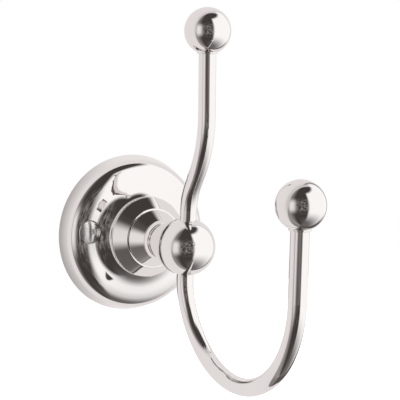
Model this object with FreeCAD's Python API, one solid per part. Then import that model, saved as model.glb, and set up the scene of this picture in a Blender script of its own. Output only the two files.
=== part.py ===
import FreeCAD, Part
import math
import os

from FreeCAD import Placement, Rotation, Vector

# Double robe hook in polished chrome: a round wall rose, a turned post with a ball head, and one
# bent rod through the ball that carries a ball finial at each end. Sizes are in millimetres.
# The wall is the plane y = 0, the room lies towards -Y and +Z is up. The origin is the centre of
# the rose on the wall. Turned profiles are drawn as (radius, height), with the height measured
# off the wall. A heading is an angle in the plane x = 0: 0 is up and 90 points into the room.

# Wall rose: a thin shell, hollow behind, with a raised boss
rose_d = 60.0  # across the rim, on the wall
rose_wall = 2.6  # metal thickness
rim_draft = 17.5  # degrees that the rim's side leans in
crown_h = 7.8  # height of the sharp corner between side and shoulder
crown_round = 6.5
shoulder_rise = 19.0  # slopes climb towards the axis, in degrees
shoulder_in = 6.8  # from the rim's edge to where the shoulder would meet the face
shoulder_round = 18.0
face_rise = 11.0
cove_out = 2.7  # from the boss's edge to where the cove around it would meet the face
cove_rise = 39.0
cove_round = 9.0
boss_d = 30.0
boss_lean = 97.0  # the boss's side is a little undercut
boss_root_round = 1.0
boss_edge_h = 15.0
boss_edge_round = 0.15
boss_cone = 48.0  # slope of the boss's top
seat_h = 19.3  # flat that the post stands on
seat_round = 0.25

# Post: spigot, foot, waist, flared cup, groove and ball, turned in one piece
post_reach = 24.3  # from the rose's seat to the ball's centre
spigot_d = 7.0
spigot_short = 0.3  # the spigot ends this far inside the back of the rose's web
foot_d = 21.2
foot_h = 0.3
foot_round = 0.2
waist_cone = 50.0  # slope of the cone above the foot, degrees
waist_round = 4.0
cup_flare = 16.0  # degrees that the cup opens towards the ball
lip_d = 20.9
lip_back = 1.85  # the lip's face lies this far behind the ball's centre
lip_round = 0.5
groove_d = 19.2
groove_w = 0.3
ball_d = 20.5
bore_chamfer = 0.6  # broken edge where the rod enters the ball

# Rod: one length of round bar, bent in the plane x = 0
rod_d = 6.0
hub_heading = 6.0  # the rod leans forward through the ball
neck_past_ball = 3.15  # straight above the ball's surface
neck_bend_r = 20.0
slant_heading = 34.0
slant_run = 4.9
top_bend_r = 39.0
top_heading = 1.0
top_run = 28.1  # straight to the top finial's centre
drop_past_ball = 0.15  # straight below the ball's surface
drop_bend_r = 20.0
throat_heading = 160.0
throat_r = 35.5
front_heading = 2.5
front_run = 30.5  # straight to the front finial's centre

# Finials: drilled balls with a short neck
finial_d = 16.0
finial_neck_d = 7.2
finial_neck_reach = 7.75  # from the ball's centre to the neck's face
finial_neck_round = 0.2
finial_bore_depth = 9.0

# Wall screws: raised countersunk wood screws
screw_in = 8.0  # from the rose's edge to the screw's centre
screw_count = 2
screw_turn = 173.0  # angle of the first screw, from +X towards +Z
screw_head_d = 7.9
screw_head_edge = 0.2
screw_dome_h = 1.25
screw_shank_d = 4.2
screw_thread_d = 4.0  # cut thread, a little under the shank
screw_thread_length = 17.8  # from the point
screw_length = 25.4  # from the head's edge to the point
screw_point = 8.0  # length of the tapered end
screw_tip_d = 0.6
screw_slot_w = 1.1
screw_slot_depth = 1.3
countersink_d = 9.0

# Post screw: slotted pan head, from behind the rose into the post
post_screw_d = 5.0
post_screw_length = 12.0
post_screw_head_d = 9.5
post_screw_head_h = 3.0
post_screw_head_round = 1.6
post_screw_slot_w = 1.2
post_screw_slot_depth = 1.4
post_screw_chamfer = 0.6
tapped_run_out = 2.0  # drilled past the screw's end
drill_point = 118.0  # included angle of the drilled hole's end

# Clearances, on the radius or along the axis
rod_fit = 0.05
spigot_fit = 0.05
screw_hole_fit = 0.2
screw_seat_gap = 0.05
thread_fit = 0.05

# Values that the pieces share
rose_r = rose_d / 2
crown_r = rose_r - crown_h * math.tan(math.radians(rim_draft))
shoulder_r = rose_r - shoulder_in
shoulder_h = crown_h + (crown_r - shoulder_r) * math.tan(math.radians(shoulder_rise))
boss_r = boss_d / 2
cove_r = boss_r + cove_out
cove_h = shoulder_h + (shoulder_r - cove_r) * math.tan(math.radians(face_rise))
web_back_h = seat_h - rose_wall
ball_r = ball_d / 2
ball_h = seat_h + post_reach
rod_r = rod_d / 2
bore_r = rod_r + rod_fit
spigot_r = spigot_d / 2
screw_shank_r = screw_shank_d / 2
screw_circle_r = rose_r - screw_in
face_h = shoulder_h + (shoulder_r - screw_circle_r) * math.tan(math.radians(face_rise))
post_screw_r = post_screw_d / 2
post_screw_tip_h = web_back_h + post_screw_length
rod_past_centre = finial_bore_depth - finial_neck_reach


def at(r, h):
    """A profile point on the drawing plane of turned pieces."""
    return Vector(r, -h, 0)


def sloped(slope, r, h, inset=0.0):
    """A straight run through (r, h) that climbs towards the axis, moved into the metal by inset."""
    angle = math.radians(slope)
    return math.sin(angle), math.cos(angle), r * math.sin(angle) + h * math.cos(angle) - inset


def crossing(one, two):
    """The (radius, height) where two sloped runs meet."""
    (a, b, c), (d, e, f) = one, two
    det = a * e - b * d
    return (c * e - b * f) / det, (a * f - c * d) / det


def rounded(points):
    """Edges through (radius, height, rounding) points, each rounding limited by its two runs."""
    spots = [at(r, h) for r, h, _ in points]
    runs = [(b - a).Length for a, b in zip(spots, spots[1:])]
    reach = [0.0] * len(spots)
    for i in range(1, len(spots) - 1):
        turn = (spots[i] - spots[i - 1]).getAngle(spots[i + 1] - spots[i])
        reach[i] = points[i][2] * math.tan(turn / 2)
    share = [min(1.0, 0.98 * run / max(reach[i] + reach[i + 1], 1e-9)) for i, run in enumerate(runs)]
    edges = []
    last = spots[0]
    for i in range(1, len(spots) - 1):
        cut = reach[i] * min(share[i - 1], share[i])
        if cut == 0:
            edges.append(Part.LineSegment(last, spots[i]).toShape())
            last = spots[i]
            continue
        back = (spots[i - 1] - spots[i]).normalize()
        ahead = (spots[i + 1] - spots[i]).normalize()
        start = spots[i] + back * cut
        end = spots[i] + ahead * cut
        half = back.getAngle(ahead) / 2
        middle = spots[i] + (back + ahead).normalize() * cut * (1 / math.cos(half) - math.tan(half))
        edges.append(Part.LineSegment(last, start).toShape())
        edges.append(Part.Arc(start, middle, end).toShape())
        last = end
    edges.append(Part.LineSegment(last, spots[-1]).toShape())
    return edges


def dome(r, h, radius, centre_h):
    """The arc of a ball from (r, h) to its pole on the axis, with the axis line left open."""
    start = math.atan2(h - centre_h, r)
    half = (start + math.pi / 2) / 2
    middle = at(radius * math.cos(half), centre_h + radius * math.sin(half))
    return Part.Arc(at(r, h), middle, at(0, centre_h + radius)).toShape()


def turned(edges):
    """The closed profile spun about the rose's axis."""
    first = edges[0].Vertexes[0].Point
    last = edges[-1].Vertexes[-1].Point
    if (first - last).Length > 1e-7:
        edges = edges + [Part.LineSegment(last, first).toShape()]
    face = Part.Face(Part.Wire(edges))
    return face.revolve(Vector(0, 0, 0), Vector(0, 1, 0), 360)


def toward(heading):
    angle = math.radians(heading)
    return Vector(0, -math.sin(angle), math.cos(angle))


def walk(start, heading, moves):
    """Points of the straight runs and bends that follow each other from start."""
    steps = []
    here = start
    for kind, size, *target in moves:
        if kind == "run":
            there = here + toward(heading) * size
            steps.append([here, there])
        else:
            side = math.copysign(90, target[0] - heading)
            centre = here + toward(heading + side) * size
            middle = centre - toward((heading + target[0]) / 2 + side) * size
            heading = target[0]
            there = centre - toward(heading + side) * size
            steps.append([here, middle, there])
        here = there
    return steps


def slot_cut(width, depth, top_h, length):
    """A screwdriver slot, upright, sunk from top_h towards the wall."""
    box = Part.makeBox(width, depth, length)
    box.translate(Vector(-width / 2, -top_h, -length / 2))
    return box


# The bent rod's centre line, from the ball outwards both ways
hub_centre = at(0, ball_h)
upper_moves = [
    ("run", ball_r + neck_past_ball),
    ("bend", neck_bend_r, slant_heading),
    ("run", slant_run),
    ("bend", top_bend_r, top_heading),
    ("run", top_run),
]
lower_moves = [
    ("run", ball_r + drop_past_ball),
    ("bend", drop_bend_r, throat_heading),
    ("bend", throat_r, front_heading),
    ("run", front_run),
]
upper_steps = walk(hub_centre, hub_heading, upper_moves)
lower_steps = walk(hub_centre, hub_heading + 180, lower_moves)
top_centre = upper_steps[-1][-1]
front_centre = lower_steps[-1][-1]


def make_rose():
    def corners(inset):
        side = sloped(90 - rim_draft, rose_r, 0, inset)
        shoulder = sloped(shoulder_rise, crown_r, crown_h, inset)
        face = sloped(face_rise, shoulder_r, shoulder_h, inset)
        cove = sloped(cove_rise, cove_r, cove_h, inset)
        boss = sloped(boss_lean, boss_r, boss_edge_h, inset)
        cone = sloped(boss_cone, boss_r, boss_edge_h, inset)
        seat = sloped(0, 0, seat_h, inset)
        runs = [sloped(0, 0, 0), side, shoulder, face, cove, boss, cone, seat]
        return [crossing(one, two) for one, two in zip(runs, runs[1:])]

    outer_rounds = [0, crown_round, shoulder_round, cove_round, boss_root_round, boss_edge_round, seat_round]
    bulges = [max(size - rose_wall, 0) for size in (crown_round, shoulder_round)]
    hollows = [size + rose_wall for size in (cove_round, boss_root_round)]
    inner_rounds = [0, *bulges, *hollows, boss_edge_round, seat_round]
    outer = [(*spot, size) for spot, size in zip(corners(0), outer_rounds)]
    inner = [(*spot, size) for spot, size in zip(corners(rose_wall), inner_rounds)]
    hole_r = spigot_r + spigot_fit
    web = [(hole_r, seat_h, 0), (hole_r, web_back_h, 0)]
    shell = turned(rounded(outer + web + inner[::-1] + outer[:1]))

    hole_r = screw_shank_r + screw_hole_fit
    mouth_r = countersink_d / 2
    cone_h = mouth_r - hole_r
    drill = [
        (0, 0, 0),
        (hole_r, 0, 0),
        (hole_r, face_h - cone_h, 0),
        (mouth_r, face_h, 0),
        (mouth_r, seat_h, 0),
        (0, seat_h, 0),
    ]
    return shell.cut(at_screws(turned(rounded(drill))))


def at_screws(piece):
    """Copies of a piece at the wall screws' places."""
    copies = []
    for i in range(screw_count):
        angle = math.radians(screw_turn + i * 360 / screw_count)
        copy = piece.copy()
        copy.translate(Vector(screw_circle_r * math.cos(angle), 0, screw_circle_r * math.sin(angle)))
        copies.append(copy)
    return copies


def make_post():
    tap_r = post_screw_r + thread_fit
    tap_end_h = post_screw_tip_h + tapped_run_out
    tap_point_h = tap_end_h + tap_r / math.tan(math.radians(drill_point / 2))
    spigot_back_h = web_back_h + spigot_short
    foot_top_h = seat_h + foot_h
    foot_r = foot_d / 2
    lip_r = lip_d / 2
    lip_h = ball_h - lip_back
    cone = sloped(waist_cone, foot_r, foot_top_h)
    flare = sloped(90 + cup_flare, lip_r, lip_h)
    groove_top_h = lip_h + groove_w
    ball_edge_r = math.sqrt(ball_r ** 2 - (ball_h - groove_top_h) ** 2)
    outline = rounded([
        (0, tap_point_h, 0),
        (tap_r, tap_end_h, 0),
        (tap_r, spigot_back_h, 0),
        (spigot_r, spigot_back_h, 0),
        (spigot_r, seat_h, 0),
        (foot_r, seat_h, 0),
        (foot_r, foot_top_h, foot_round),
        (*crossing(cone, flare), waist_round),
        (lip_r, lip_h, lip_round),
        (groove_d / 2, lip_h, 0),
        (groove_d / 2, groove_top_h, 0),
        (ball_edge_r, groove_top_h, 0),
    ])
    blank = turned(outline + [dome(ball_edge_r, groove_top_h, ball_r, ball_h)])

    cutters = []
    mouth = math.sqrt(ball_r ** 2 - bore_r ** 2)
    for heading in (hub_heading, hub_heading + 180):
        way = toward(heading)
        cutters.append(Part.makeCylinder(bore_r, ball_d, hub_centre, way))
        chamfer_start = hub_centre + way * (mouth - bore_chamfer)
        wide_r = bore_r + 2 * bore_chamfer
        cutters.append(Part.makeCone(bore_r, wide_r, 2 * bore_chamfer, chamfer_start, way))
    return blank.cut(cutters)


def make_rod():
    top_end = top_centre + toward(top_heading) * rod_past_centre
    front_end = front_centre + toward(front_heading) * rod_past_centre
    steps = [[top_end, top_centre]]
    steps += [step[::-1] for step in upper_steps[::-1]]
    steps += lower_steps
    steps += [[front_centre, front_end]]
    curves = [Part.LineSegment(*step) if len(step) == 2 else Part.Arc(*step) for step in steps]
    path = Part.Wire([curve.toShape() for curve in curves])
    section = Part.Face(Part.Wire(Part.makeCircle(rod_r, top_end, toward(top_heading))))
    rod = path.makePipe(section)
    print("rod volume", round(rod.Volume, 1), "section x length", round(section.Area * path.Length, 1))
    return rod


def make_finial(centre, heading):
    neck_r = finial_neck_d / 2
    finial_r = finial_d / 2
    neck_start = -math.sqrt(finial_r ** 2 - neck_r ** 2)
    outline = rounded([
        (0, rod_past_centre, 0),
        (bore_r, rod_past_centre, 0),
        (bore_r, -finial_neck_reach, 0),
        (neck_r, -finial_neck_reach, finial_neck_round),
        (neck_r, neck_start, 0),
    ])
    finial = turned(outline + [dome(neck_r, neck_start, finial_r, 0)])
    finial.Placement = Placement(centre, Rotation(at(0, 1), toward(heading)))
    return finial


def make_wall_screws():
    head_r = screw_head_d / 2
    rim_h = face_h - (countersink_d / 2 - head_r) + screw_seat_gap
    edge_h = rim_h + screw_head_edge
    tip_h = rim_h - screw_length
    thread_r = screw_thread_d / 2
    thread_start_h = tip_h + screw_thread_length
    dome_radius = (head_r ** 2 + screw_dome_h ** 2) / (2 * screw_dome_h)
    outline = rounded([
        (0, tip_h, 0),
        (screw_tip_d / 2, tip_h, 0),
        (thread_r, tip_h + screw_point, 0),
        (thread_r, thread_start_h, 0),
        (screw_shank_r, thread_start_h, 0),
        (screw_shank_r, rim_h - (head_r - screw_shank_r), 0),
        (head_r, rim_h, 0),
        (head_r, edge_h, 0),
    ])
    dome_top_h = edge_h + screw_dome_h
    blank = turned(outline + [dome(head_r, edge_h, dome_radius, dome_top_h - dome_radius)])
    slot = slot_cut(screw_slot_w, screw_slot_depth, dome_top_h, screw_head_d)
    return Part.makeCompound(at_screws(blank.cut(slot)))


def make_post_screw():
    head_r = post_screw_head_d / 2
    head_back_h = web_back_h - post_screw_head_h
    blank = turned(rounded([
        (0, head_back_h, 0),
        (head_r, head_back_h, post_screw_head_round),
        (head_r, web_back_h, 0),
        (post_screw_r, web_back_h, 0),
        (post_screw_r, post_screw_tip_h - post_screw_chamfer, 0),
        (post_screw_r - post_screw_chamfer, post_screw_tip_h, 0),
        (0, post_screw_tip_h, 0),
    ]))
    slot_top_h = head_back_h + post_screw_slot_depth
    return blank.cut(slot_cut(post_screw_slot_w, post_screw_slot_depth, slot_top_h, post_screw_head_d))


pieces = {
    "wall_rose": make_rose(),
    "post": make_post(),
    "hook_rod": make_rod(),
    "top_finial": make_finial(top_centre, top_heading),
    "front_finial": make_finial(front_centre, front_heading),
    "wall_screws": make_wall_screws(),
    "post_screw": make_post_screw(),
}

os.makedirs("parts", exist_ok=True)
for name, shape in pieces.items():
    print(name, "solids", len(shape.Solids), "valid", shape.isValid(), "volume", round(shape.Volume, 1))
    shape.exportStep("parts/" + name + ".step")
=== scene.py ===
import math

import bmesh
import bpy
from mathutils import Matrix, Vector


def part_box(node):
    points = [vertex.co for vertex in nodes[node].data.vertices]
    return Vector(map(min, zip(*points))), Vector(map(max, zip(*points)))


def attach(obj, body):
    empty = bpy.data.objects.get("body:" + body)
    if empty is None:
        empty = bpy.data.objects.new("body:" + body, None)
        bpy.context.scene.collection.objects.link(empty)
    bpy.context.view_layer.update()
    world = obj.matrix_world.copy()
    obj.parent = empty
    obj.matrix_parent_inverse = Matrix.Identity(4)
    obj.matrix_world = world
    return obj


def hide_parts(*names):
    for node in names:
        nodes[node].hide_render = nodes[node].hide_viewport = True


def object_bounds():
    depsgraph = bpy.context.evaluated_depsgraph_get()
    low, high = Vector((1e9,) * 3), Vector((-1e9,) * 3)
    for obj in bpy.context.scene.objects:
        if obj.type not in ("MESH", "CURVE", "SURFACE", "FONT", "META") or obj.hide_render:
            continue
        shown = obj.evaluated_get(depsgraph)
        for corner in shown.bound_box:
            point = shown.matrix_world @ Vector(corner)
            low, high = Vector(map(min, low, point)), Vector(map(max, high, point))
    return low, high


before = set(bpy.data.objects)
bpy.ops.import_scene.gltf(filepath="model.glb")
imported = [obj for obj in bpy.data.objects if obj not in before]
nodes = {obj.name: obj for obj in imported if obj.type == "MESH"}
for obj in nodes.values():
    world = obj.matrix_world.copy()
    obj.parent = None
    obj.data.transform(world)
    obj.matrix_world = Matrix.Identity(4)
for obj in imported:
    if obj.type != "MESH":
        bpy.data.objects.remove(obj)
cadLow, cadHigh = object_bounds()
scene = bpy.context.scene
print("frame loaded:", ", ".join(sorted(nodes)))

rightSide = Vector((1.0, 0.0, 0.0))
roomSide = Vector((0.0, -1.0, 0.0))  # the room lies in front of the wall
wallSide = -roomSide
upSide = Vector((0.0, 0.0, 1.0))


# Node helpers: a value is a number, a colour or the output of another node

def feed(tree, socket, value):
    if isinstance(value, bpy.types.NodeSocket):
        tree.links.new(value, socket)
    elif isinstance(value, tuple):
        socket.default_value = (*value, 1.0)
    else:
        socket.default_value = value


def addMath(tree, operation, first, second=0.0):
    node = tree.nodes.new("ShaderNodeMath")
    node.operation = operation
    feed(tree, node.inputs[0], first)
    feed(tree, node.inputs[1], second)
    return node.outputs[0]


def addDot(tree, vector, direction):
    node = tree.nodes.new("ShaderNodeVectorMath")
    node.operation = "DOT_PRODUCT"
    feed(tree, node.inputs[0], vector)
    feed(tree, node.inputs[1], direction)
    return node.outputs["Value"]


def addNoise(tree, vector, scale, detail, roughness):
    node = tree.nodes.new("ShaderNodeTexNoise")
    feed(tree, node.inputs["Vector"], vector)
    feed(tree, node.inputs["Scale"], scale)
    feed(tree, node.inputs["Detail"], detail)
    feed(tree, node.inputs["Roughness"], roughness)
    return node.outputs["Fac"]


def addRange(tree, value, low, high, newLow=0.0, newHigh=1.0):
    node = tree.nodes.new("ShaderNodeMapRange")
    feed(tree, node.inputs["Value"], value)
    feed(tree, node.inputs["From Min"], low)
    feed(tree, node.inputs["From Max"], high)
    feed(tree, node.inputs["To Min"], newLow)
    feed(tree, node.inputs["To Max"], newHigh)
    return node.outputs["Result"]


def addFade(tree, value, low, high):  # a soft step from 0 to 1
    fade = addRange(tree, value, low, high)
    fade.node.interpolation_type = "SMOOTHSTEP"
    return fade


def addMix(tree, factor, first, second):
    node = tree.nodes.new("ShaderNodeMix")
    node.data_type = "RGBA"
    feed(tree, node.inputs["Factor"], factor)
    feed(tree, node.inputs["A"], first)
    feed(tree, node.inputs["B"], second)
    return node.outputs["Result"]


def newMaterial(name):
    material = bpy.data.materials.new(name)
    material.use_nodes = True
    tree = material.node_tree
    return material, tree, tree.nodes["Principled BSDF"]


def addPiece(name, body, material):
    mesh = bpy.data.meshes.new(name)
    body.to_mesh(mesh)
    body.free()
    mesh.materials.append(material)
    piece = bpy.data.objects.new(name, mesh)
    scene.collection.objects.link(piece)
    return piece


# Plated metal: faint clouds in tone and gloss, and the fine ripple of the buffing

buffedHaze = {
    "cloudDetail": 3.0,
    "cloudBand": (0.35, 0.75),  # noise values at which a cloud starts and is full
    "mostDull": 0.35,  # share of the dull tone in a full cloud
    "grainScale": 2600.0,
    "grainDetail": 2.0,
    "grainHeight": 0.2,
    "noiseRoughness": 0.55,
}


def makeBuffedPlate(haze):
    group = bpy.data.node_groups.new("buffedPlate", "ShaderNodeTree")
    sockets = {
        "INPUT": {
            "Vector": "NodeSocketVector", "Bright": "NodeSocketColor", "Dull": "NodeSocketColor",
            "Cloud Scale": "NodeSocketFloat", "Smooth": "NodeSocketFloat", "Hazy": "NodeSocketFloat",
        },
        "OUTPUT": {
            "Color": "NodeSocketColor", "Roughness": "NodeSocketFloat", "Height": "NodeSocketFloat",
        },
    }
    for side, kinds in sockets.items():
        for label, kind in kinds.items():
            group.interface.new_socket(label, in_out=side, socket_type=kind)
    given = group.nodes.new("NodeGroupInput").outputs
    result = group.nodes.new("NodeGroupOutput").inputs
    vector, roughness = given["Vector"], haze["noiseRoughness"]
    cloud = addNoise(group, vector, given["Cloud Scale"], haze["cloudDetail"], roughness)
    dullShare = addRange(group, cloud, *haze["cloudBand"], 0.0, haze["mostDull"])
    feed(group, result["Color"], addMix(group, dullShare, given["Bright"], given["Dull"]))
    gloss = addRange(group, cloud, *haze["cloudBand"], given["Smooth"], given["Hazy"])
    feed(group, result["Roughness"], gloss)
    grain = addNoise(group, vector, haze["grainScale"], haze["grainDetail"], roughness)
    feed(group, result["Height"], addMath(group, "MULTIPLY", grain, haze["grainHeight"]))
    return group


buffedPlate = makeBuffedPlate(buffedHaze)


def makePlatedMetal(name, finish):
    material, tree, shader = newMaterial(name)
    place = tree.nodes.new("ShaderNodeTexCoord")
    plate = tree.nodes.new("ShaderNodeGroup")
    plate.node_tree = buffedPlate
    plate.name = "plate"
    feed(tree, plate.inputs["Vector"], place.outputs["Object"])
    feed(tree, plate.inputs["Bright"], finish["bright"])
    feed(tree, plate.inputs["Dull"], finish["dull"])
    feed(tree, plate.inputs["Cloud Scale"], finish["cloudScale"])
    feed(tree, plate.inputs["Smooth"], finish["smooth"])
    feed(tree, plate.inputs["Hazy"], finish["hazy"])
    bump = tree.nodes.new("ShaderNodeBump")
    feed(tree, bump.inputs["Strength"], finish["ripple"])
    feed(tree, bump.inputs["Distance"], finish["rippleDepth"])
    feed(tree, bump.inputs["Height"], plate.outputs["Height"])
    feed(tree, shader.inputs["Metallic"], 1.0)
    feed(tree, shader.inputs["Base Color"], plate.outputs["Color"])
    feed(tree, shader.inputs["Roughness"], plate.outputs["Roughness"])
    feed(tree, shader.inputs["Normal"], bump.outputs["Normal"])
    return material


polishedChrome = {
    "bright": (0.905, 0.885, 0.88),
    "dull": (0.86, 0.835, 0.83),
    "cloudScale": 55.0,
    "smooth": 0.025,  # roughness between the clouds and in them
    "hazy": 0.05,
    "ripple": 0.05,
    "rippleDepth": 0.00002,
}
screwChrome = {
    "bright": (0.88, 0.86, 0.855),
    "dull": (0.78, 0.75, 0.74),
    "cloudScale": 240.0,
    "smooth": 0.24,
    "hazy": 0.3,
    "ripple": 0.1,
    "rippleDepth": 0.00003,
}
zincSteel = {
    "bright": (0.66, 0.67, 0.69),
    "dull": (0.5, 0.5, 0.5),
    "cloudScale": 300.0,
    "smooth": 0.22,
    "hazy": 0.42,
    "ripple": 0.3,
    "rippleDepth": 0.00005,
}
roseBack = {  # the hollow side is plated but not polished
    "color": (0.6, 0.575, 0.56),
    "roughness": 0.3,
    "turned": (0.08, 0.3),  # how far a surface faces the wall before the dull plate starts and is full
}


def makeRoseMaterial(finish, back):
    material = makePlatedMetal("polishedRose", finish)
    tree = material.node_tree
    shader, plate = tree.nodes["Principled BSDF"], tree.nodes["plate"]
    surface = tree.nodes.new("ShaderNodeNewGeometry")
    facing = addDot(tree, surface.outputs["True Normal"], wallSide)
    dull = addFade(tree, facing, *back["turned"])
    feed(tree, shader.inputs["Base Color"], addMix(tree, dull, plate.outputs["Color"], back["color"]))
    gloss = addRange(tree, dull, 0.0, 1.0, plate.outputs["Roughness"], back["roughness"])
    feed(tree, shader.inputs["Roughness"], gloss)
    return material


def dress(nodeName, material):
    piece = nodes[nodeName]
    piece.data.materials.clear()
    piece.data.materials.append(material)


chromeMaterial = makePlatedMetal("polishedChrome", polishedChrome)
screwMaterial = makePlatedMetal("platedScrew", screwChrome)
dress("wall_rose", makeRoseMaterial(polishedChrome, roseBack))
for nodeName in ("post", "hook_rod", "top_finial", "front_finial"):
    dress(nodeName, chromeMaterial)
dress("post_screw", makePlatedMetal("zincSteel", zincSteel))
print("metal finishes made")


# Wall screws: slotted wood screws with a raised countersunk head and a cut thread, head towards the room

wallScrew = {
    "headRadius": 0.00395,
    "domeHeight": 0.0009,
    "domeRings": 10,
    "headEdge": 0.00045,
    "headDrop": 0.0001,  # the dome's top lies this far inside the solid's
    "slotWidth": 0.0011,
    "slotBevel": 0.00005,
    "slotBevelSteps": 2,
    "lipDepth": 0.00003,  # the slot's edge stays sharp where the slot is shallower than this
    "shankRadius": 0.0021,
    "runOut": 0.0008,  # taper from shank to core
    "coreRadius": 0.0014,
    "threadLength": 0.0178,  # from the point
    "threadRadius": 0.002,
    "threadFoot": 0.9,  # share of the core's radius where the thread is rooted
    "pitch": 0.0028,
    "threadRoot": 0.5,  # widths as shares of the pitch
    "threadCrest": 0.08,
    "threadThinning": 0.6,  # power by which the thread's height fades along the point
    "pointLength": 0.008,
    "tipRadius": 0.0003,
    "facets": 64,
    "threadFacets": 32,  # in one turn
    "mergeDistance": 1e-7,
    "sharpAngle": 32.0,
}


def makeScrewProfile(screw, length):  # radius and depth below the dome's top
    headRadius, shankRadius, domeHeight = screw["headRadius"], screw["shankRadius"], screw["domeHeight"]
    domeRadius = (headRadius ** 2 + domeHeight ** 2) / (2 * domeHeight)
    sweep = math.asin(headRadius / domeRadius)
    turns = [sweep * ring / screw["domeRings"] for ring in range(screw["domeRings"] + 1)]
    dome = [(domeRadius * math.sin(turn), domeRadius * (1 - math.cos(turn))) for turn in turns]
    edge = domeHeight + screw["headEdge"]
    threadStart = length - screw["threadLength"]
    return dome + [
        (headRadius, edge),
        (shankRadius, edge + headRadius - shankRadius),
        (shankRadius, threadStart),
        (screw["coreRadius"], threadStart + screw["runOut"]),
        (screw["coreRadius"], length - screw["pointLength"]),
        (screw["tipRadius"], length - screw["tipRadius"]),
        (0.0, length),
    ]


def spinScrew(body, screw, length):
    profile = makeScrewProfile(screw, length)
    spots = [body.verts.new((radius, depth, 0.0)) for radius, depth in profile]
    edges = [body.edges.new(pair) for pair in zip(spots, spots[1:])]
    bmesh.ops.spin(
        body, geom=spots + edges, cent=(0.0, 0.0, 0.0), axis=wallSide,
        angle=math.tau, steps=screw["facets"], use_merge=True,
    )
    bmesh.ops.remove_doubles(body, verts=body.verts, dist=screw["mergeDistance"])


def findDome(body, screw):
    edge = screw["domeHeight"] + screw["mergeDistance"]
    return [face for face in body.faces if all(vert.co.y < edge for vert in face.verts)]


def onLip(vert, screw):
    beside = abs(abs(vert.co.x) - screw["slotWidth"] / 2) < screw["mergeDistance"]
    return beside and vert.co.y < screw["domeHeight"] - screw["lipDepth"]


def cutSlot(body, screw):  # the dome's middle strip is sunk to the head's edge
    half = screw["slotWidth"] / 2
    for side in (-half, half):
        parts = dict.fromkeys(
            part for face in findDome(body, screw) for part in (*face.verts, *face.edges, face)
        )
        bmesh.ops.bisect_plane(body, geom=list(parts), plane_co=rightSide * side, plane_no=rightSide)
    strip = [face for face in findDome(body, screw) if abs(face.calc_center_median().x) < half]
    for part in bmesh.ops.extrude_face_region(body, geom=strip)["geom"]:
        if isinstance(part, bmesh.types.BMVert):
            part.co.y = screw["domeHeight"]
    bmesh.ops.delete(body, geom=[face for face in strip if face.is_valid], context="FACES")
    bmesh.ops.remove_doubles(body, verts=body.verts, dist=screw["mergeDistance"])
    lips = [edge for edge in body.edges if all(onLip(vert, screw) for vert in edge.verts)]
    bmesh.ops.bevel(
        body, geom=lips, offset=screw["slotBevel"], offset_type="OFFSET", affect="EDGES",
        segments=screw["slotBevelSteps"], profile=0.5, material=-1,
    )


def thinThread(vert, screw, start, length):  # the thread grows out of the core and fades along the point
    radius = math.hypot(vert.co.x, vert.co.z)
    fadeIn = min(1.0, max(0.0, (vert.co.y - start) / screw["pitch"]))
    fadeOut = min(1.0, max(0.0, (length - vert.co.y) / screw["pointLength"]))
    core = screw["tipRadius"] + (screw["coreRadius"] - screw["tipRadius"]) * fadeOut
    height = (radius - screw["coreRadius"]) * fadeIn * fadeOut ** screw["threadThinning"]
    vert.co.x *= (core + height) / radius
    vert.co.z *= (core + height) / radius


def addThread(body, screw, length):
    pitch, crestRadius = screw["pitch"], screw["threadRadius"]
    root, crest = screw["threadRoot"] * pitch, screw["threadCrest"] * pitch
    flank = (root - crest) / 2
    foot = screw["coreRadius"] * screw["threadFoot"]
    start = length - screw["threadLength"] + screw["runOut"] / 2
    run = length - screw["tipRadius"] - root - start
    steps = round(run / pitch * screw["threadFacets"])
    section = [(foot, 0.0), (crestRadius, flank), (crestRadius, flank + crest), (foot, root)]
    older = set(body.verts)
    spots = [body.verts.new((radius, start + depth, 0.0)) for radius, depth in section]
    edges = [body.edges.new(pair) for pair in zip(spots, spots[1:] + spots[:1])]
    bmesh.ops.spin(
        body, geom=spots + edges, cent=(0.0, 0.0, 0.0), axis=wallSide,
        angle=math.tau * run / pitch, steps=steps, dvec=wallSide * run / steps,
    )
    ends = [edge for edge in body.edges if edge.is_boundary]
    bmesh.ops.holes_fill(body, edges=ends, sides=len(section))
    for vert in body.verts:
        if vert not in older:
            thinThread(vert, screw, start, length)


def makeWallScrew(name, screw, place, length):
    body = bmesh.new()
    spinScrew(body, screw, length)
    cutSlot(body, screw)
    addThread(body, screw, length)
    bmesh.ops.recalc_face_normals(body, faces=body.faces)
    bmesh.ops.translate(body, verts=body.verts, vec=place)
    for face in body.faces:
        face.smooth = True
    piece = addPiece(name, body, screwMaterial)
    piece.data.set_sharp_from_angle(angle=math.radians(screw["sharpAngle"]))
    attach(piece, "root")
    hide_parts("wall_screws")


screwsLow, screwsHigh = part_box("wall_screws")
inset = wallScrew["headRadius"]
screwTop = screwsLow.y + wallScrew["headDrop"]
screwPlaces = {
    "wallScrewLeft": Vector((screwsLow.x + inset, screwTop, screwsHigh.z - inset)),
    "wallScrewRight": Vector((screwsHigh.x - inset, screwTop, screwsLow.z + inset)),
}
for name, place in screwPlaces.items():
    makeWallScrew(name, wallScrew, place, screwsHigh.y - screwTop)
print("wall screws made")


# Camera, from a fit to the outlines of the rose, ball, rod and finials

viewpoint = {
    "swing": 30.39,  # degrees to the left of straight on
    "rise": 6.35,  # degrees above level
    "distance": 0.47612,
    "across": 0.02684,  # aim point beside and above the rose's centre
    "above": 0.01244,
    "focalPixels": 1234.76,
    "picturePixels": 400.0,
    "sensor": 36.0,
    "nearest": 0.01,
    "furthest": 50.0,
}


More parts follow.
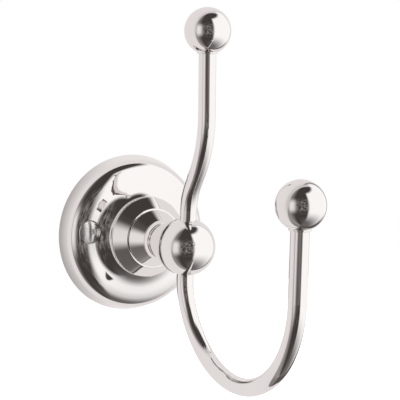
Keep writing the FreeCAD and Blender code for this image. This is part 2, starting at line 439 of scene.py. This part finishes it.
def makeCamera(view):
    swing, rise = math.radians(view["swing"]), math.radians(view["rise"])
    look = Vector((math.sin(swing) * math.cos(rise), math.cos(swing) * math.cos(rise), -math.sin(rise)))
    right = Vector((math.cos(swing), -math.sin(swing), 0.0))
    up = right.cross(look)
    aim = right * view["across"] + up * view["above"]
    data = bpy.data.cameras.new("photoCamera")
    data.sensor_width = view["sensor"]
    data.lens = view["sensor"] * view["focalPixels"] / view["picturePixels"]
    data.clip_start = view["nearest"]
    data.clip_end = view["furthest"]
    camera = bpy.data.objects.new("photoCamera", data)
    scene.collection.objects.link(camera)
    camera.matrix_world = Matrix((right, up, -look)).transposed().to_4x4()
    camera.location = aim - look * view["distance"]
    scene.camera = camera


makeCamera(viewpoint)
print("camera placed")


# Studio: a pale wall behind, a dim room in front with soft panels of light, and a pale floor

studioWall = {
    "color": (0.7, 0.665, 0.66),
    "soft": 0.05,  # softness of its horizon
    "lowCut": 0.33,  # the wall ends sooner below
}
studioRoom = {
    "dim": (0.055, 0.047, 0.044),
    "leftBounce": (0.33, 0.3, 0.29),  # light thrown back beside the wall on the left
    "bounceTurn": (57.0, 98.0),  # degrees to the left of straight ahead, where it starts and is full
}
studioPanels = {  # degrees to the right of straight ahead and above level: where each edge fades
    "rearLeftShade": {
        "left": (-182.0, -181.0), "right": (-120.0, -104.0), "low": (-92.0, -91.0), "high": (55.0, 80.0),
        "glow": (0.24, 0.225, 0.22),
    },
    "rearRightShade": {
        "left": (104.0, 120.0), "right": (181.0, 182.0), "low": (-92.0, -91.0), "high": (55.0, 80.0),
        "glow": (0.24, 0.225, 0.22),
    },
    "rearLamp": {
        "left": (-172.0, -158.0), "right": (-134.0, -118.0), "low": (-24.0, -4.0), "high": (30.0, 50.0),
        "glow": (0.95, 0.93, 0.92),
    },
    "floorGlow": {
        "left": (-60.0, 40.0), "right": (150.0, 170.0), "low": (-100.0, -99.0), "high": (-62.0, -40.0),
        "glow": (0.15, 0.135, 0.13),
    },
    "cameraGlow": {
        "left": (-66.0, -36.0), "right": (-10.0, 8.0), "low": (-40.0, -4.0), "high": (8.0, 46.0),
        "glow": (0.27, 0.245, 0.235),
        "mottle": {"scale": 7.0, "detail": 3.0, "roughness": 0.6, "band": (0.4, 0.66)},
    },
    "leftLamp": {
        "left": (-94.0, -80.0), "right": (-72.0, -46.0), "low": (-34.0, -6.0), "high": (12.0, 38.0),
        "glow": (0.84, 0.81, 0.8),
    },
    "mainSoftbox": {
        "left": (-6.0, 8.0), "right": (112.0, 124.0), "low": (-72.0, -19.0), "high": (50.0, 62.0),
        "glow": (1.05, 1.04, 1.03),
    },
    "lowRightShade": {
        "left": (94.0, 108.0), "right": (150.0, 160.0), "low": (-92.0, -91.0), "high": (-34.0, -14.0),
        "glow": (0.1, 0.09, 0.085),
    },
}


def addPanel(tree, way, turn, rise, panel):
    mask = addFade(tree, turn, *panel["left"])
    for value, edge, falling in ((turn, "right", True), (rise, "low", False), (rise, "high", True)):
        fade = addFade(tree, value, *panel[edge])
        if falling:
            fade = addMath(tree, "SUBTRACT", 1.0, fade)
        mask = addMath(tree, "MULTIPLY", mask, fade)
    if "mottle" in panel:  # uneven, like things standing in the room
        mottle = panel["mottle"]
        patches = addNoise(tree, way, mottle["scale"], mottle["detail"], mottle["roughness"])
        mask = addMath(tree, "MULTIPLY", mask, addFade(tree, patches, *mottle["band"]))
    return mask


def makeWorld(wall, room, panels):
    world = bpy.data.worlds.new("studio")
    scene.world = world
    world.use_nodes = True
    tree = world.node_tree
    backdrop = tree.nodes["Background"]
    way = tree.nodes.new("ShaderNodeTexCoord").outputs["Generated"]
    across = addDot(tree, way, rightSide)
    ahead = addDot(tree, way, roomSide)
    above = addDot(tree, way, upSide)
    turn = addMath(tree, "DEGREES", addMath(tree, "ARCTAN2", across, ahead))
    rise = addMath(tree, "DEGREES", addMath(tree, "ARCSINE", above))
    bounce = addFade(tree, addMath(tree, "MULTIPLY", turn, -1.0), *room["bounceTurn"])
    studio = addMix(tree, bounce, room["dim"], room["leftBounce"])
    lowCut = addMath(tree, "MULTIPLY", addMath(tree, "MINIMUM", above, 0.0), wall["lowCut"])
    horizon = addMath(tree, "SUBTRACT", lowCut, ahead)
    studio = addMix(tree, addFade(tree, horizon, -wall["soft"], wall["soft"]), studio, wall["color"])
    for panel in panels.values():
        studio = addMix(tree, addPanel(tree, way, turn, rise, panel), studio, panel["glow"])
    path = tree.nodes.new("ShaderNodeLightPath")
    seen = addMix(tree, path.outputs["Is Camera Ray"], studio, (1.0, 1.0, 1.0))
    feed(tree, backdrop.inputs["Color"], seen)
    feed(tree, backdrop.inputs["Strength"], 1.0)


makeWorld(studioWall, studioRoom, studioPanels)

studioBoard = {  # pale board that the hook hangs on; only its mirror image is seen. It glows with painted light and painted shade in place of a lit wall
    "left": -1.5,
    "right": 0.165,
    "bottom": -0.36,
    "top": 1.5,
    "behind": 0.0005,
    "shaded": (0.4, 0.375, 0.37),  # painted shade of the rose on the left
    "lit": (0.88, 0.85, 0.845),  # painted light beside the rose on the right
    "shadeEdge": (-1.0, -0.1),  # cosines round the rose, where the painted shade starts to thin and ends
    "shadeFade": (0.029, 0.04),  # distances from the rose's centre over which the painted shade and light round it give way to the near tone
    "near": (0.82, 0.785, 0.78),  # painted light clear of the rose, and its painted fall-off far from it
    "far": (0.62, 0.585, 0.58),
    # distances from the rose's centre over which the painted light falls off from near to far
    "fade": (0.15, 0.9),
    "strip": (0.2, 0.18, 0.175),  # painted shade in a strip along its right side
    "stripWidth": 0.02,
}


def makeBoardMaterial(board):
    material, tree, shader = newMaterial("paintedLightBoard")
    place = tree.nodes.new("ShaderNodeTexCoord").outputs["Object"]
    away = tree.nodes.new("ShaderNodeVectorMath")
    away.operation = "LENGTH"
    feed(tree, away.inputs[0], place)
    distance = away.outputs["Value"]
    side = addDot(tree, place, rightSide)
    cosine = addMath(tree, "DIVIDE", side, distance)
    # painted shade of the rose on its left and painted light on its right, then painted light clear of
    # it falling off with distance
    tone = addMix(tree, addFade(tree, cosine, *board["shadeEdge"]), board["shaded"], board["lit"])
    tone = addMix(tree, addFade(tree, distance, *board["shadeFade"]), tone, board["near"])
    tone = addMix(tree, addFade(tree, distance, *board["fade"]), tone, board["far"])
    # painted shade in a strip along the board's right edge
    strip = addFade(tree, side, board["right"] - board["stripWidth"], board["right"])
    facing = tree.nodes.new("ShaderNodeNewGeometry")
    front = addMath(tree, "SUBTRACT", 1.0, facing.outputs["Backfacing"])
    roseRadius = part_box("wall_rose")[1].x
    outside = addMath(tree, "GREATER_THAN", distance, roseRadius)  # open behind the rose
    feed(tree, shader.inputs["Base Color"], (0.0, 0.0, 0.0))
    feed(tree, shader.inputs["Specular IOR Level"], 0.0)
    # the board glows with these painted tones of light and shade, though it is no lamp
    feed(tree, shader.inputs["Emission Color"], addMix(tree, strip, tone, board["strip"]))
    feed(tree, shader.inputs["Emission Strength"], 1.0)
    feed(tree, shader.inputs["Alpha"], addMath(tree, "MULTIPLY", front, outside))
    return material


def makeBoard(board):
    left, right, behind = board["left"], board["right"], board["behind"]
    corners = [
        (left, behind, board["bottom"]),
        (right, behind, board["bottom"]),
        (right, behind, board["top"]),
        (left, behind, board["top"]),
    ]
    sheet = bmesh.new()
    sheet.faces.new([sheet.verts.new(corner) for corner in corners])
    piece = addPiece("paintedLightBoard", sheet, makeBoardMaterial(board))
    piece.visible_camera = False
    piece.visible_shadow = False


makeBoard(studioBoard)

paleFloor = {
    "side": 3.0,
    "drop": 0.3,  # below the object's lowest point
    "color": (0.85, 0.85, 0.85),
    "roughness": 0.8,
}


def makeFloor(floor):
    material, tree, shader = newMaterial("paleFloor")
    path = tree.nodes.new("ShaderNodeLightPath")
    feed(tree, shader.inputs["Base Color"], floor["color"])
    feed(tree, shader.inputs["Roughness"], floor["roughness"])
    feed(tree, shader.inputs["Emission Color"], (1.0, 1.0, 1.0))
    feed(tree, shader.inputs["Emission Strength"], path.outputs["Is Camera Ray"])
    plane = bmesh.new()
    bmesh.ops.create_grid(plane, x_segments=1, y_segments=1, size=floor["side"] / 2)
    bmesh.ops.translate(plane, verts=plane.verts, vec=upSide * (cadLow.z - floor["drop"]))
    piece = addPiece("floor", plane, material)
    piece.visible_glossy = False


makeFloor(paleFloor)
scene.view_settings.view_transform = "Standard"
print("studio lit")
